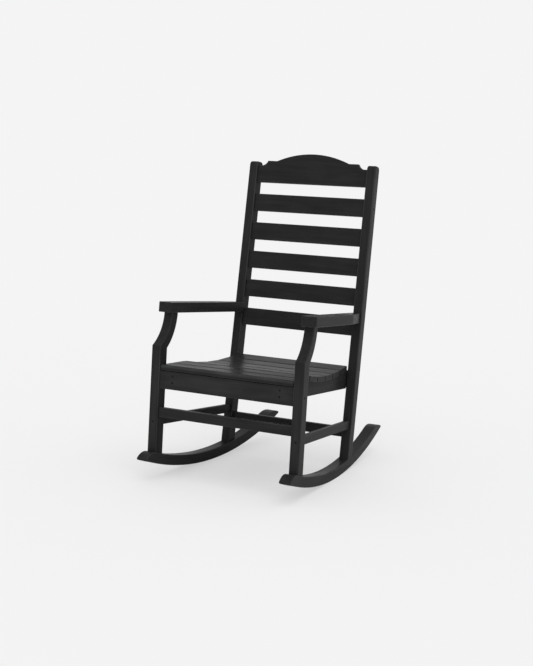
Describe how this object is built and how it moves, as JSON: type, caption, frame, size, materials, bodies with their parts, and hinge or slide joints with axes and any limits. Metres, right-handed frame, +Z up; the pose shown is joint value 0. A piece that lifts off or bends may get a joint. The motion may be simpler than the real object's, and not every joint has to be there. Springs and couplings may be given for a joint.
{
  "type": "rocking chair",
  "caption": "Ladder-back porch rocking chair of black plastic boards, with arched top board, scooped seat, swept front legs and arc runners.",
  "frame": {"origin": "centre of the chair's bounding box, on the floor it stands on, in its rest pose", "axes": "+Z up, -Y the way a sitter faces, +X the sitter's left"},
  "size_m": [0.6168, 0.9572, 1.1694],
  "materials": {
    "board": "fine grained satin",
    "fastener": "black coated stainless steel"
  },
  "bodies": {
    "root": {"apron_screws": "fastener", "arm_dowels": "board", "armrest_left": "board", "armrest_right": "board", "back_post_left": "board", "back_post_right": "board", "crest_rail": "board", "front_apron": "board", "front_leg_left": "board", "front_leg_right": "board", "front_stretcher": "board", "ladder_slat_1": "board", "ladder_slat_2": "board", "ladder_slat_3": "board", "ladder_slat_4": "board", "ladder_slat_5": "board", "leg_screws": "fastener", "rear_apron": "board", "rear_stretcher": "board", "rocker_bolts": "fastener", "rocker_left": "board", "rocker_right": "board", "seat_rail_left": "board", "seat_rail_right": "board", "seat_slat_1": "board", "seat_slat_2": "board", "seat_slat_3": "board", "seat_slat_4": "board", "seat_slat_5": "board", "seat_slat_6": "board", "seat_slat_7": "board", "side_screws": "fastener", "side_stretcher_left": "board", "side_stretcher_right": "board"}
  },
  "joints": []
}
